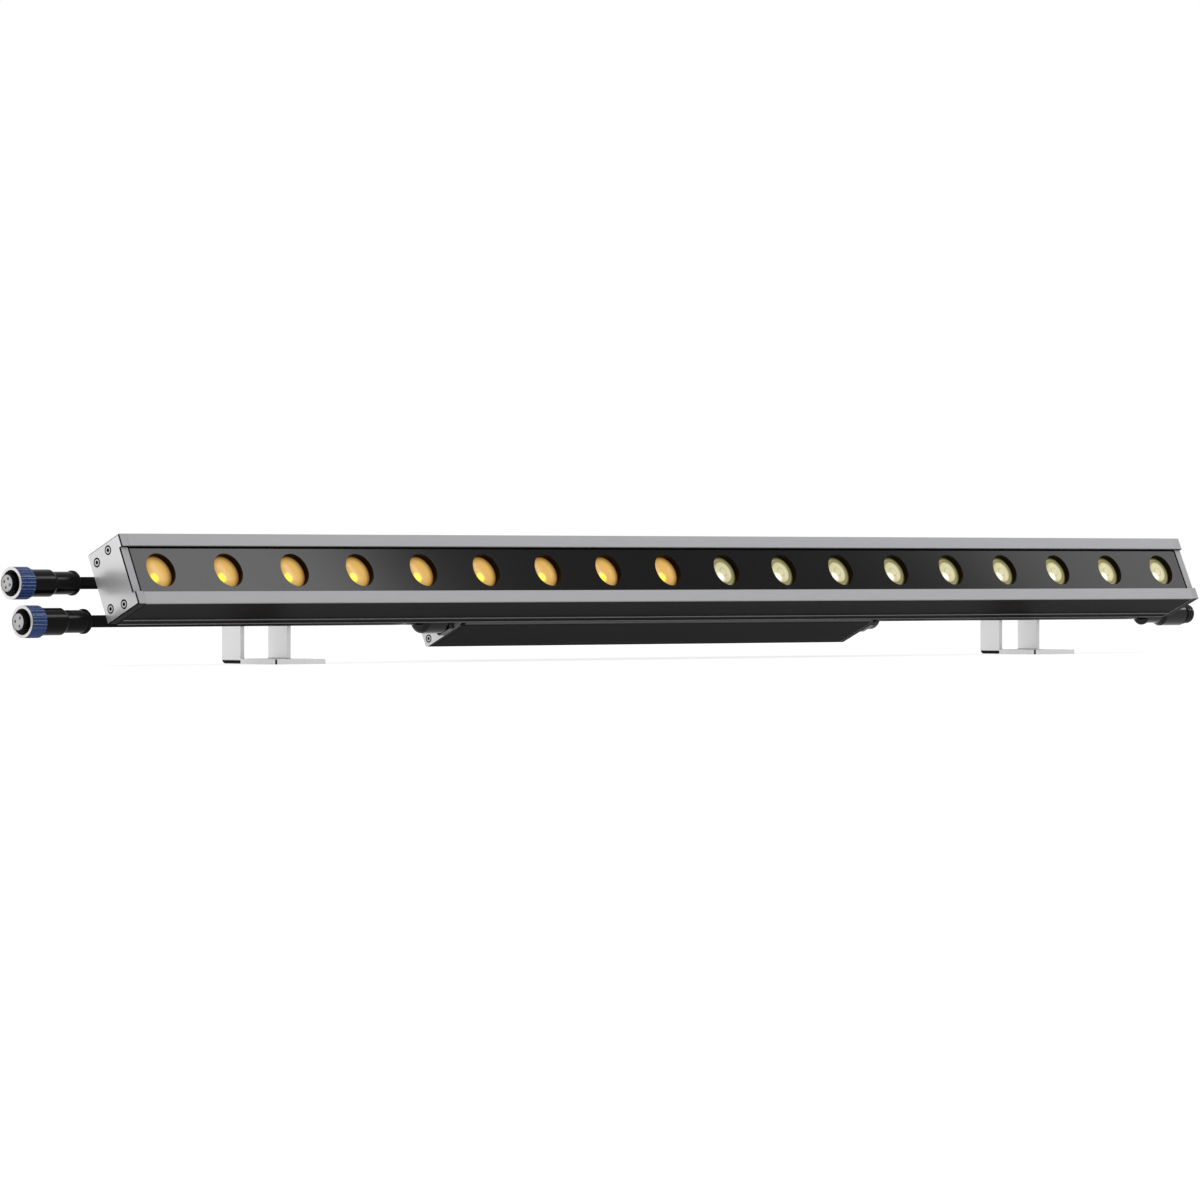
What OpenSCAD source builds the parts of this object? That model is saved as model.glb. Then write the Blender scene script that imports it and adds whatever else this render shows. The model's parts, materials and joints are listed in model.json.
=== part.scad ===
// Linear LED fixture for outdoor walls: a slim light bar with eighteen lenses, a driver box behind it,
// four corded connectors and two tilting, sliding foot brackets.
// X runs along the bar, Y points to the rear and Z up. The origin lies on the mounting surface,
// midway between the slots of the two feet.

/* [Light bar] */
// Length of the bar over its end plates
bar_l = 1000; // [996:4:1300]
// Height of the bar, measured square to its light beam
bar_h = 47.3; // [46:0.1:54]
// Depth of the bar along its light beam
bar_d = 32; // [31:0.1:38]
// Resting tilt of the beam above the horizon, in degrees
tilt = 24.5; // [10:0.5:60]
// Height of each bright front rail
rail_h = 8; // [6.5:0.1:9]
// Thickness of the bright front rails
rail_t = 1.2; // [0.8:0.1:1.6]
// How far the black cover plate lies behind the rails' front faces
cover_recess = 2.4; // [1.8:0.1:3]
// Thickness of the cover plate
cover_t = 3; // [2:0.1:4]
// Thickness of the metal behind the circuit board
spine_t = 10.7; // [9.5:0.1:16]

/* [End plates] */
// Thickness of each end plate of the bar
end_plate_t = 6.2; // [5:0.1:9]
// Thickness of each end gasket
gasket_t = 0.8; // [0.5:0.1:1.5]
// Rounding of the end plates' rear corners
end_plate_corner_r = 1; // [0.5:0.1:2]
// Chamfer round the end plates' outer faces
end_plate_chamfer = 0.7; // [0.3:0.1:1]
// Diameter of the end plate screws' threads
end_screw_d = 4; // [3:0.1:4.2]
// Diameter of the end plate screws' bevelled heads
end_screw_head_d = 6; // [5.6:0.1:6.8]
// Length of the end plate screws
end_screw_l = 16; // [12:1:24]

/* [Optics] */
// Number of lenses along the bar
led_count = 18; // [10:2:18]
// Distance from each end of the bar to the first lens centre
led_margin = 28.25; // [26:0.25:40]
// Diameter of the cover plate's openings
opening_d = 22.6; // [18:0.1:23]
// Outer diameter of a lens flange
lens_d = 26; // [25:0.1:26.5]
// Thickness of a lens flange
lens_flange_t = 2; // [1.5:0.1:2.5]
// Rise of a lens's curved front face
lens_rise = 0.9; // [0.5:0.1:1.1]
// Thickness of the seal between the cover plate and a lens
seal_t = 1.3; // [1.2:0.1:2]
// Thickness of the LED circuit board
board_t = 1.6; // [1:0.1:2]
// Thickness of the heat pad behind the circuit board
pad_t = 0.5; // [0.3:0.1:1]

/* [Driver box] */
// Length of the driver box over its end plates
driver_l = 394; // [340:1:410]
// Depth of the driver box
driver_d = 37.2; // [36:0.1:46]
// Gap between the bar's rear face and the driver box
driver_gap = 4; // [4:0.1:7]
// Wall thickness of the driver box
driver_wall = 2.2; // [1.8:0.1:2.6]
// Thickness of the driver box's end plates
driver_plate_t = 3.5; // [3:0.1:5]
// Outer radius of the driver box's corners
driver_corner_r = 2; // [1:0.1:3]

/* [Cables and connectors] */
// Outer diameter of the cables
cable_d = 7.6; // [6:0.1:7.6]
// Bend radius of the cables
bend_r = 30; // [28:1:34]
// Distance across the flats of the cable glands
gland_flats = 19; // [16:0.5:20]
// Diameter of the cable glands' dome nuts
gland_dome_d = 18.8; // [16:0.1:19]
// Length that each incoming cable's gland stands out of the driver box
gland_in_l = 24; // [14:1:26]
// Length that each outgoing cable's gland stands out of the driver box
gland_out_l = 12.5; // [12:0.5:26]
// Diameter of the connectors' coupling rings
ring_d = 20.2; // [19.4:0.1:22]
// Length of a coupling ring's fluted sleeve
sleeve_l = 11.4; // [10.5:0.1:13]
// Number of flutes round a coupling ring
flute_count = 30; // [20:1:32]
// Diameter of the connectors' moulded bodies
shell_d = 17; // [15:0.1:18]
// Diameter of the female connectors' contact inserts
insert_d = 11.3; // [10.5:0.1:11.5]
// Diameter of the male connectors' barrels
barrel_d = 13; // [12.9:0.1:13.3]

/* [Foot brackets] */
// Distance between the centres of the two brackets
bracket_spacing = 713; // [700:1:736]
// Outer width of a bracket
bracket_w = 42.5; // [40:0.5:60]
// Thickness of the bracket plate
plate_t = 3.2; // [2.5:0.1:4]
// Width of a bracket's ears
ear_w = 18; // [16:0.1:20]
// Height of the tilt axis above the mounting surface
pivot_h = 36.7; // [36.7:0.1:60]
// Distance from the slot's centre back to the tilt axis
slot_to_pivot = 25.8; // [22:0.1:32]
// Distance from the slot's centre to the bracket's front edge
slot_to_front = 17.1; // [12:0.1:25]
// Width of the mounting slot in each foot
slot_w = 6.5; // [4.5:0.1:8.5]
// Length of the mounting slot in each foot
slot_l = 16; // [12:0.5:20]
// Diameter of the pivot bolts
pivot_bolt_d = 6; // [5:0.5:6]
// How far each bracket can slide to either side along the bar
slide_travel = 50; // [20:1:50]

/* [Clearances] */
// Gap all round a part that lies in or beside another
part_gap = 0.3; // [0.2:0.05:0.4]
// Radial running clearance of the pivot bolts and the coupling rings
run_gap = 0.05; // [0.02:0.01:0.1]
// Radial clearance of screws and small shafts in their holes
screw_gap = 0.1; // [0.05:0.01:0.2]

/* [Hidden] */
$fn = 64;

SILVER = "#b9bbbf";
LIGHT = "#d9dadd";
BLACK = "#1b1b1d";
RUBBER = "#111112";
GREY = "#b4b4b8";
BRASS = "#b8964a";
ZINC = "#8f9297";
BOARD_GREEN = "#1f5a36";
BLUE = "#2f4f8f";
SEAL_BROWN = "#7a3b2e";
LED_YELLOW = "#e8c85a";
PART_GREY = "#3a3f46";

// Stations along the beam, from the bar's front face to the rear
inner_l = bar_l - 2 * (end_plate_t + gasket_t);
ledge_y = cover_recess + cover_t;
lens_y = ledge_y + seal_t;
holder_y = lens_y + lens_flange_t;
spine_y = bar_d - spine_t;
pad_y = spine_y - pad_t;
board_y = pad_y - board_t;
driver_y = bar_d + driver_gap;
driver_inner_l = driver_l - 2 * (driver_plate_t + gasket_t);

// Inside of the light bar
cavity_side = rail_h + 2;
flute_pitch = 3.2;
flute_w = 1.4;
flute_depth = 1.6;
port_d = end_screw_d + 2 * screw_gap;
chamber_wall = 2.4;
slot_mid_z = 20.1;
slot_neck_w = 6.4;
slot_neck_t = 2.4;
slot_head_w = 11;
slot_head_t = 3.2;
slot_gap = 0.2;
front_screw = [13.2, 5.3];
rear_screw = [26, 7.9];
screw_spots = [for (s = [front_screw, rear_screw]) for (z = [s[1], bar_h - s[1]]) [s[0], z]];
notch_gap = 0.3;
notch_y = cover_recess - 0.2;
edge_rib_t = 0.7;
edge_rib_h = 0.7;
edge_rib_y = [25.3, bar_d - edge_rib_t];
chamber_side = 1.8;
cover_end_gap = 0.5;
rail_end_gap = 0.1;
screw_bevel_share = 0.15;
screw_head_share = 0.34;
screw_hex_share = 0.45;

// Lens pitch and lens places, amber in the left half and white in the right half
led_pitch = (bar_l - 2 * led_margin) / (led_count - 1);
function led_x(i) = -bar_l / 2 + led_margin + i * led_pitch;
amber_x = [for (i = [0 : led_count / 2 - 1]) led_x(i)];
white_x = [for (i = [led_count / 2 : led_count - 1]) led_x(i)];
all_x = concat(amber_x, white_x);
collimator_r = 10;
collimator_tip_r = 5;
collimator_cavity_r = 3.2;
collimator_l = 8.4;
board_margin = 1;
led_base = 3.5;
led_base_t = 0.8;
led_dome_r = 1.5;
board_screw_d = 3;
board_screw_head_d = 5.4;
board_screw_head_t = 1.8;
board_screw_x = [for (i = [1 : 2 : led_count - 2]) led_x(i) + led_pitch / 2];
board_screw_l = 4.5;

// Tilt axis, seen from the bar: the ears clear the cables on the bar's rear face
cable_y = bar_d + part_gap + cable_d / 2;
ear_gap = 0.7;
pivot_y = cable_y + cable_d / 2 + ear_gap + ear_w / 2;
pivot_z = slot_mid_z;
bolt_head_t = 3;

// Heights of the two rows of cable glands
gland_z_low = gland_flats / 2 + part_gap;
gland_z_high = bar_h - 12;

// Driver box
driver_screw_inset = [4.8, 4.4];
driver_screw_d = 3;
driver_screw_head_d = 5.2;
driver_screw_l = 12;
driver_back_y = driver_y + driver_d - driver_screw_inset[0];
driver_spots = [[driver_back_y, driver_screw_inset[1]], [driver_back_y, bar_h - driver_screw_inset[1]],
  [driver_y + driver_screw_inset[0], (gland_z_low + gland_z_high) / 2]];
port_wall = 1.6;
board_rib_z = 17;
board_rib_w = 2.5;
driver_board_t = 1.6;
driver_board_end_gap = 14;
mount_x = [-150, 150];
mount_w = 24;
mount_below_slot = 8;
mount_above_screw = 3.5;
mount_screw_d = 4;
mount_screw_head_d = 6.8;
mount_screw_head_t = 2.4;
mount_screw_gap = 1.55;
mount_screw_z = (gland_z_low + gland_z_high) / 2 + driver_screw_d / 2 + port_wall
  + mount_screw_head_d / 2 + mount_screw_gap;

// Blocks on the driver's board: place in x, length, reach to the front and the rear of the middle line, height
driver_blocks = [[-158, 14, 9, 9, 12], [-43, 34, 9, 11, 20], [41, 22, 8, 8, 15], [92, 24, 2, 8, 18],
  [158, 14, 9, 9, 12]];
// Cans on the driver's board: place in x, offset from the middle line, diameter, height
driver_cans = [[-130, 0, 16, 18], [-108, 0, 16, 18], [70, -4, 9, 14], [122, -4, 9, 14], [136, -4, 9, 14]];
grommet_d = 8;
grommet_z = 33;

// Cables, seen from the bar as depth and height
gland_depth = 13;
gland_y = driver_y + gland_depth;
gland_hex_t = 4.5;
gland_round_r = 3.5;
gland_spigot_d = 12;
gland_locknut_d = 15;
gland_thread_l = 7;
gland_neck_l = 4;
gland_locknut_t = 4.5;
low_gland = [gland_y, gland_z_low];
high_gland = [gland_y, gland_z_high];
low_run = [cable_y, cable_d / 2 + part_gap];
neck_half = 5.5;
high_run = [cable_y, slot_mid_z + neck_half + 0.4 + cable_d / 2 + part_gap];
cable_lead = 2;
cable_tail = 30;
second_offset = 5.9;
male_setback = 18.5;
male_start_x = bar_l / 2 - male_setback;
second_bend_x = male_start_x - bend_run(second_offset) - 0.1;
clip_w = 8;
clip_wall = 0.9;
clip_ear_l = 6.5;
clip_t = 1.2;
clip_screw_d = 2.5;
clip_screw_head_d = 4.8;
clip_screw_head_t = 1.6;
clip_margin = 2.25;
first_bend_l = max(bend_run(norm(low_run - low_gland)), bend_run(norm(high_run - high_gland)));
first_bend_end = driver_l / 2 + max(gland_in_l, gland_out_l) + cable_lead + first_bend_l;
clip_x_inner = max(first_bend_end + clip_w / 2 + clip_margin,
  bracket_spacing / 2 - bracket_w / 2 - bolt_head_t - slide_travel - clip_w / 2 - clip_margin);
clip_x_outer = second_bend_x - 2 - clip_w / 2;
tube_sides = 12;
bend_steps = 4;

// Connectors
female_lead = 14;
female_end_x = bar_l / 2 + female_lead;
flange_d = 15.6;
flange_l = 3.5;
neck_d = 12.3;
tail_l = 17.9;
cable_seat = 7.5;
female_shell_l = 20.1;
rim_l = 0.6;
insert_lead = 3.2;
insert_seat = 2;
contact_circle_r = 2.9;
contact_d = 1.6;
nut_wall = 0.9;
nut_bore_r = ring_d / 2 - 1.9;
nut_back_t = 2.2;
spigot_r = nut_bore_r - 1.1;
spigot_flange_r = nut_bore_r - part_gap;
spigot_flange_t = 2;
spigot_l = nut_back_t + part_gap + spigot_flange_t + 0.5;
male_shell_l = 25;
barrel_l = 9.5;
recess_depth = 11;
pin_l = 6;
pin_root = 4.5;
thread_start = 3.6;
thread_pitch = 1.8;

// Brackets
slider_w = bracket_w - 2 * plate_t - 1.6;
washer_t = 0.6;
bolt_reach = 12;
bolt_head_d = 11;
boss_r = 7.8;
bend_inner_r = 0.4;
bend_outer_r = bend_inner_r + plate_t;
foot_chamfer = 0.9;
clamp_screw_d = 5;

module on_head() {
  translate([0, slot_to_pivot, pivot_h]) rotate([-tilt, 0, 0])
    translate([0, -pivot_y, -pivot_z]) children();
}

module along_x(x0, x1) {
  translate([x0, 0, 0]) rotate([90, 0, 90]) linear_extrude(x1 - x0) children();
}

module rod_x(x0, x1, y, z, d) {
  translate([x0, y, z]) rotate([0, 90, 0]) cylinder(h = x1 - x0, d = d);
}

module rod_y(y0, y1, x, z, d) {
  translate([x, y0, z]) rotate([-90, 0, 0]) cylinder(h = y1 - y0, d = d);
}

module block(x, y, z) {
  translate([x[0], y[0], z[0]]) cube([x[1] - x[0], y[1] - y[0], z[1] - z[0]]);
}

module box_2d(y, z) {
  translate([y[0], z[0]]) square([y[1] - y[0], z[1] - z[0]]);
}

// A rectangle with round corners of radius r
module round_box_2d(y, z, r) {
  box_2d([y[0] + r, y[1] - r], z);
  box_2d(y, [z[0] + r, z[1] - r]);
  for (a = [y[0] + r, y[1] - r]) for (b = [z[0] + r, z[1] - r]) translate([a, b]) circle(r);
}

module both_sides() {
  children();
  mirror([1, 0, 0]) children();
}

// Light bar

module slide_slot_2d(gap) {
  box_2d([bar_d - slot_neck_t - gap, bar_d + 1],
    [slot_mid_z - slot_neck_w / 2, slot_mid_z + slot_neck_w / 2]);
  box_2d([bar_d - slot_neck_t - slot_head_t, bar_d - slot_neck_t],
    [slot_mid_z - slot_head_w / 2, slot_mid_z + slot_head_w / 2]);
}

module flutes_2d() {
  top = slot_mid_z + slot_head_w / 2 + 2;
  low = slot_mid_z - slot_head_w / 2 - 2;
  for (z = [flute_pitch : flute_pitch : low - flute_w]) {
    box_2d([bar_d - flute_depth, bar_d + 1], [z - flute_w / 2, z + flute_w / 2]);
  }
  for (z = [top : flute_pitch : bar_h - flute_pitch]) {
    box_2d([bar_d - flute_depth, bar_d + 1], [z - flute_w / 2, z + flute_w / 2]);
  }
}

module housing_2d() {
  chamber_y = [front_screw[0] + port_d / 2 + chamber_side, rear_screw[0] - port_d / 2 - chamber_side];
  chamber_h = cavity_side - 2 - chamber_wall;
  difference() {
    union() {
      box_2d([rail_t, bar_d], [0, bar_h]);
      for (y = edge_rib_y) box_2d([y, y + edge_rib_t], [-edge_rib_h, bar_h + edge_rib_h]);
    }
    box_2d([0, ledge_y], [rail_h, bar_h - rail_h]);
    box_2d([0, spine_y], [cavity_side, bar_h - cavity_side]);
    slide_slot_2d(0.01);
    flutes_2d();
    for (s = screw_spots) translate(s) circle(d = port_d);
    for (z = [chamber_wall, bar_h - chamber_wall - chamber_h]) box_2d(chamber_y, [z, z + chamber_h]);
  }
}

module housing() {
  color(BLACK) on_head() difference() {
    along_x(-inner_l / 2, inner_l / 2) housing_2d();
    rod_y(spine_y - 1, bar_d + 1, 0, grommet_z, grommet_d + 2 * screw_gap);
    for (x = board_screw_x) for (z = board_screw_z()) {
      rod_y(spine_y - 1, spine_y + board_screw_l, x, z, board_screw_d);
    }
    for (c = clip_spots()) rod_y(bar_d - 5, bar_d + 1, c[0], c[1], clip_screw_d);
  }
}

module front_rail(z) {
  half = bar_l / 2 - end_plate_t - rail_end_gap;
  color(SILVER) on_head() along_x(-half, half) box_2d([0, rail_t], [z, z + rail_h]);
}

module front_rail_top() {
  front_rail(bar_h - rail_h);
}

module front_rail_bottom() {
  front_rail(0);
}

module cover_plate() {
  half = inner_l / 2 - cover_end_gap;
  color(BLACK) on_head() difference() {
    block([-half, half], [cover_recess, ledge_y], [rail_h, bar_h - rail_h]);
    for (x = all_x) rod_y(cover_recess - 1, ledge_y + 1, x, bar_h / 2, opening_d);
  }
}

// One lens, turned round the beam axis: a domed face, a flange and a collimator cone with a pocket
module lens_2d() {
  face_r = opening_d / 2 - part_gap;
  dome_r = (face_r * face_r + lens_rise * lens_rise) / (2 * lens_rise);
  tip = lens_flange_t + collimator_l;
  difference() {
    union() {
      intersection() {
        translate([0, dome_r - lens_rise]) circle(dome_r, $fn = 720);
        translate([0, -2 * lens_rise]) square([face_r, 2 * lens_rise + 0.5]);
      }
      square([lens_d / 2, lens_flange_t]);
      polygon([[0, lens_flange_t], [collimator_r, lens_flange_t], [collimator_tip_r, tip], [0, tip]]);
    }
    translate([-1, tip - collimator_l / 2]) square([collimator_cavity_r + 1, collimator_l]);
  }
}

module lens(x) {
  translate([x, lens_y, bar_h / 2]) rotate([-90, 0, 0]) rotate_extrude() lens_2d();
}

module lenses_amber() {
  color("#f0c26a") on_head() for (x = amber_x) lens(x);
}

module lenses_white() {
  color("#ddd2a6") on_head() for (x = white_x) lens(x);
}

module lens_seals() {
  color(RUBBER) on_head() for (x = all_x) difference() {
    rod_y(ledge_y, lens_y, x, bar_h / 2, lens_d);
    rod_y(ledge_y - 1, lens_y + 1, x, bar_h / 2, opening_d);
  }
}

module lens_holders() {
  color(BLACK) on_head() for (x = all_x) difference() {
    rod_y(holder_y, board_y, x, bar_h / 2, lens_d - 0.8);
    rod_y(holder_y - 1, board_y + 1, x, bar_h / 2, 2 * collimator_r + 2 * part_gap);
  }
}

function board_screw_z() = [cavity_side + 4, bar_h - cavity_side - 4];

module board_plate(y0, y1) {
  difference() {
    block([-inner_l / 2 + board_margin, inner_l / 2 - board_margin], [y0, y1],
      [cavity_side + part_gap, bar_h - cavity_side - part_gap]);
    for (x = board_screw_x) for (z = board_screw_z()) {
      rod_y(y0 - 1, y1 + 1, x, z, board_screw_d + 2 * screw_gap);
    }
    rod_y(y0 - 1, y1 + 1, 0, grommet_z, grommet_d + 2 * screw_gap);
  }
}

module led_board() {
  color(LIGHT) on_head() board_plate(board_y, pad_y);
}

module thermal_pad() {
  color("#6f7f8c") on_head() board_plate(pad_y, spine_y);
}

module led_packages() {
  half = led_base / 2;
  top = board_y - led_base_t;
  color(LED_YELLOW) on_head() for (x = all_x) {
    block([x - half, x + half], [top, board_y], [bar_h / 2 - half, bar_h / 2 + half]);
    intersection() {
      translate([x, top, bar_h / 2]) sphere(led_dome_r);
      rod_y(top - led_dome_r, top, x, bar_h / 2, 2 * led_dome_r);
    }
  }
}

module board_screws() {
  color(ZINC) on_head() for (x = board_screw_x) for (z = board_screw_z()) {
    rod_y(board_y, spine_y + board_screw_l - 0.5, x, z, board_screw_d - 2 * screw_gap);
    rod_y(board_y - board_screw_head_t, board_y, x, z, board_screw_head_d);
  }
}

module end_plate_2d() {
  r = end_plate_corner_r;
  difference() {
    union() {
      box_2d([0, bar_d - r], [0, bar_h]);
      box_2d([0, bar_d], [r, bar_h - r]);
      for (z = [r, bar_h - r]) translate([bar_d - r, z]) circle(r);
    }
    box_2d([-1, notch_y], notch_z());
  }
}

function notch_z() = [rail_h + notch_gap, bar_h - rail_h - notch_gap];

// Cuts the outer edge that runs up a right-hand plate at depth y, between two heights
module upright_chamfer(x, y, z) {
  c = end_plate_chamfer;
  translate([0, 0, z[0]]) linear_extrude(z[1] - z[0])
    polygon([[x - c, y - 0.01], [x + 1, y - 0.01], [x + 1, y + c + 1]]);
}

// Cuts the outer edge that runs along the bottom of a right-hand plate
module bottom_chamfer(x) {
  c = end_plate_chamfer;
  translate([0, bar_d + 1, 0]) rotate([90, 0, 0]) linear_extrude(bar_d + 2)
    polygon([[x - c, -0.01], [x + 1, -0.01], [x + 1, c + 1]]);
}

// A counterbored screw hole along X through a plate whose outer face is at x
module screw_hole(x, t, spot, d, head_d) {
  rod_x(x - t - 1, x + 1, spot[0], spot[1], d + 2 * screw_gap);
  rod_x(x - screw_head_share * head_d, x + 1, spot[0], spot[1], head_d + 2 * screw_gap);
}

// The right-hand end plate, with a notch between the rails and chamfered outer edges
module end_plate() {
  outer = bar_l / 2;
  color(LIGHT) on_head() difference() {
    along_x(outer - end_plate_t, outer) end_plate_2d();
    for (s = screw_spots) screw_hole(outer, end_plate_t, s, end_screw_d, end_screw_head_d);
    upright_chamfer(outer, 0, [-1, bar_h + 1]);
    upright_chamfer(outer, notch_y, notch_z());
    bottom_chamfer(outer);
    translate([0, 0, bar_h]) mirror([0, 0, 1]) bottom_chamfer(outer);
  }
}

module end_plate_right() {
  end_plate();
}

module end_plate_left() {
  mirror([1, 0, 0]) end_plate();
}

module end_gasket() {
  color(RUBBER) on_head() along_x(inner_l / 2, inner_l / 2 + gasket_t) difference() {
    box_2d([cover_recess, bar_d - end_plate_corner_r], [part_gap, bar_h - part_gap]);
    for (s = screw_spots) translate(s) circle(d = end_screw_d + 2 * screw_gap);
    box_2d([ledge_y + 1, spine_y], [cavity_side + 1, bar_h - cavity_side - 1]);
  }
}

module end_gasket_right() {
  end_gasket();
}

module end_gasket_left() {
  mirror([1, 0, 0]) end_gasket();
}

// Socket screw along X with its bevelled head's face at x, pointing to smaller x
module socket_screw(x, y, z, d, head_d, l) {
  head_t = screw_head_share * head_d;
  bevel = screw_bevel_share * head_d;
  difference() {
    union() {
      rod_x(x - l, x - head_t / 2, y, z, d);
      rod_x(x - head_t, x - bevel, y, z, head_d);
      translate([x - bevel, y, z]) rotate([0, 90, 0]) cylinder(h = bevel, d1 = head_d, d2 = head_d - 2 * bevel);
    }
    translate([x - head_t, y, z]) rotate([0, 90, 0])
      cylinder(h = head_t + 1, d = screw_hex_share * head_d, $fn = 6);
  }
}

module end_screws() {
  color(ZINC) on_head() for (s = screw_spots) {
    socket_screw(bar_l / 2, s[0], s[1], end_screw_d, end_screw_head_d, end_screw_l);
  }
}

module end_screws_right() {
  end_screws();
}

module end_screws_left() {
  mirror([1, 0, 0]) end_screws();
}

// Cable clips on the bar's rear face

function clip_low_z() = low_run[1] + cable_d / 2 + clip_wall + clip_ear_l / 2;
function clip_high_z() = high_run[1] + cable_d / 2 + clip_wall + clip_ear_l / 2;
function clip_spots() = [for (x = [clip_x_inner, clip_x_outer]) for (s = [-1, 1])
  for (z = [clip_low_z(), clip_high_z()]) [s * x, z]];

// A hook over one cable, open below, with a screw ear above
module clip_2d(run, ear_z) {
  r = cable_d / 2 + screw_gap + clip_wall;
  lip = cable_d / 4;
  difference() {
    union() {
      translate(run) circle(r);
      box_2d([bar_d, run[0]], [run[1], run[1] + r]);
      box_2d([bar_d, bar_d + clip_t], [run[1] + r, ear_z + clip_ear_l / 2]);
    }
    translate(run) circle(cable_d / 2 + screw_gap);
    box_2d([bar_d - r, bar_d], [run[1] - r, run[1] + r]);
    box_2d([bar_d - r, run[0]], [run[1] - r - 1, run[1] + lip]);
    box_2d([run[0] - 1, run[0] + r + 1], [run[1] - r - 1, run[1] - lip]);
  }
}

module cable_clips() {
  color(BLACK) on_head() both_sides() for (x = [clip_x_inner, clip_x_outer]) difference() {
    along_x(x - clip_w / 2, x + clip_w / 2) {
      clip_2d(low_run, clip_low_z());
      clip_2d(high_run, clip_high_z());
    }
    for (z = [clip_low_z(), clip_high_z()]) {
      rod_y(bar_d - 1, bar_d + clip_t + 1, x, z, clip_screw_d + 2 * screw_gap);
    }
  }
}

module clip_screws() {
  face = bar_d + clip_t;
  color(ZINC) on_head() for (c = clip_spots()) difference() {
    union() {
      rod_y(bar_d - 4.5, face, c[0], c[1], clip_screw_d - 2 * screw_gap);
      rod_y(face, face + clip_screw_head_t, c[0], c[1], clip_screw_head_d);
    }
    rod_y(face + clip_screw_head_t / 2, face + clip_screw_head_t + 1, c[0], c[1], 0.4 * clip_screw_head_d);
  }
}

module link_grommet() {
  color(RUBBER) on_head() {
    rod_y(board_y - 1.5, driver_y + driver_wall + 1.5, 0, grommet_z, grommet_d);
    rod_y(bar_d, driver_y, 0, grommet_z, grommet_d + 4);
  }
}

// Driver box

module driver_2d() {
  back = driver_y + driver_d;
  w = driver_wall;
  difference() {
    round_box_2d([driver_y, back], [0, bar_h], driver_corner_r);
    difference() {
      box_2d([driver_y + w, back - w], [w, bar_h - w]);
      for (s = driver_spots) translate(s) circle(driver_screw_d / 2 + port_wall);
      for (y = [[driver_y, driver_y + w + board_rib_w], [back - w - board_rib_w, back]]) {
        box_2d(y, [board_rib_z - port_wall, board_rib_z]);
      }
    }
    for (s = driver_spots) translate(s) circle(d = driver_screw_d + 2 * screw_gap);
  }
}

module driver_housing() {
  half = driver_inner_l / 2;
  wall_end = driver_y + driver_wall + 0.5;
  color(BLACK) on_head() difference() {
    along_x(-half, half) driver_2d();
    rod_y(driver_y - 1, wall_end, 0, grommet_z, grommet_d + 2 * screw_gap);
    for (x = mount_x) rod_y(driver_y - 1, wall_end, x, mount_screw_z, mount_screw_d + 2 * screw_gap);
  }
}

module driver_end_plate() {
  outer = driver_l / 2;
  inner = outer - driver_plate_t;
  color(LIGHT) on_head() difference() {
    along_x(inner, outer) round_box_2d([driver_y, driver_y + driver_d], [0, bar_h], driver_corner_r);
    for (s = driver_spots) screw_hole(outer, driver_plate_t, s, driver_screw_d, driver_screw_head_d);
    for (g = [low_gland, high_gland]) {
      rod_x(inner - 1, outer + 1, g[0], g[1], gland_spigot_d + 2 * screw_gap);
    }
  }
}

module driver_end_plate_right() {
  driver_end_plate();
}

module driver_end_plate_left() {
  mirror([1, 0, 0]) driver_end_plate();
}

module driver_gasket() {
  half = driver_inner_l / 2;
  y = [driver_y + part_gap, driver_y + driver_d - part_gap];
  color(RUBBER) on_head() along_x(half, half + gasket_t) difference() {
    round_box_2d(y, [part_gap, bar_h - part_gap], driver_corner_r);
    for (s = driver_spots) translate(s) circle(d = driver_screw_d + 2 * screw_gap);
    for (g = [low_gland, high_gland]) translate(g) circle(d = gland_locknut_d + 1);
  }
}

module driver_gasket_right() {
  driver_gasket();
}

module driver_gasket_left() {
  mirror([1, 0, 0]) driver_gasket();
}

module driver_end_screws() {
  color(ZINC) on_head() both_sides() for (s = driver_spots) {
    socket_screw(driver_l / 2, s[0], s[1], driver_screw_d, driver_screw_head_d, driver_screw_l);
  }
}

// What lies in the rear slot: a T-shaped foot whose neck ends at depth back
module slot_foot_2d(back) {
  g = slot_gap;
  box_2d([bar_d - slot_neck_t - slot_head_t + g, bar_d - slot_neck_t - g],
    [slot_mid_z - slot_head_w / 2 + g, slot_mid_z + slot_head_w / 2 - g]);
  box_2d([bar_d - slot_neck_t - g - 0.01, back + 0.01],
    [slot_mid_z - slot_neck_w / 2 + g, slot_mid_z + slot_neck_w / 2 - g]);
}

// T-shaped blocks that hold the driver box in the bar's rear slot
module driver_mounts() {
  color(ZINC) on_head() for (x = mount_x) difference() {
    along_x(x - mount_w / 2, x + mount_w / 2) {
      slot_foot_2d(bar_d);
      box_2d([bar_d, driver_y], [slot_mid_z - mount_below_slot, mount_screw_z + mount_above_screw]);
    }
    rod_y(bar_d + 0.8, driver_y + 1, x, mount_screw_z, mount_screw_d);
  }
}

module driver_mount_screws() {
  seat = driver_y + driver_wall;
  color(ZINC) on_head() for (x = mount_x) {
    rod_y(bar_d + 1.2, seat, x, mount_screw_z, mount_screw_d - 2 * screw_gap);
    rod_y(seat, seat + mount_screw_head_t, x, mount_screw_z, mount_screw_head_d);
  }
}

module driver_board() {
  half = driver_inner_l / 2 - driver_board_end_gap;
  y0 = driver_y + driver_wall + part_gap;
  y1 = driver_y + driver_d - driver_wall - part_gap;
  color(BOARD_GREEN) on_head() block([-half, half], [y0, y1], [board_rib_z, board_rib_z + driver_board_t]);
}

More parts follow.
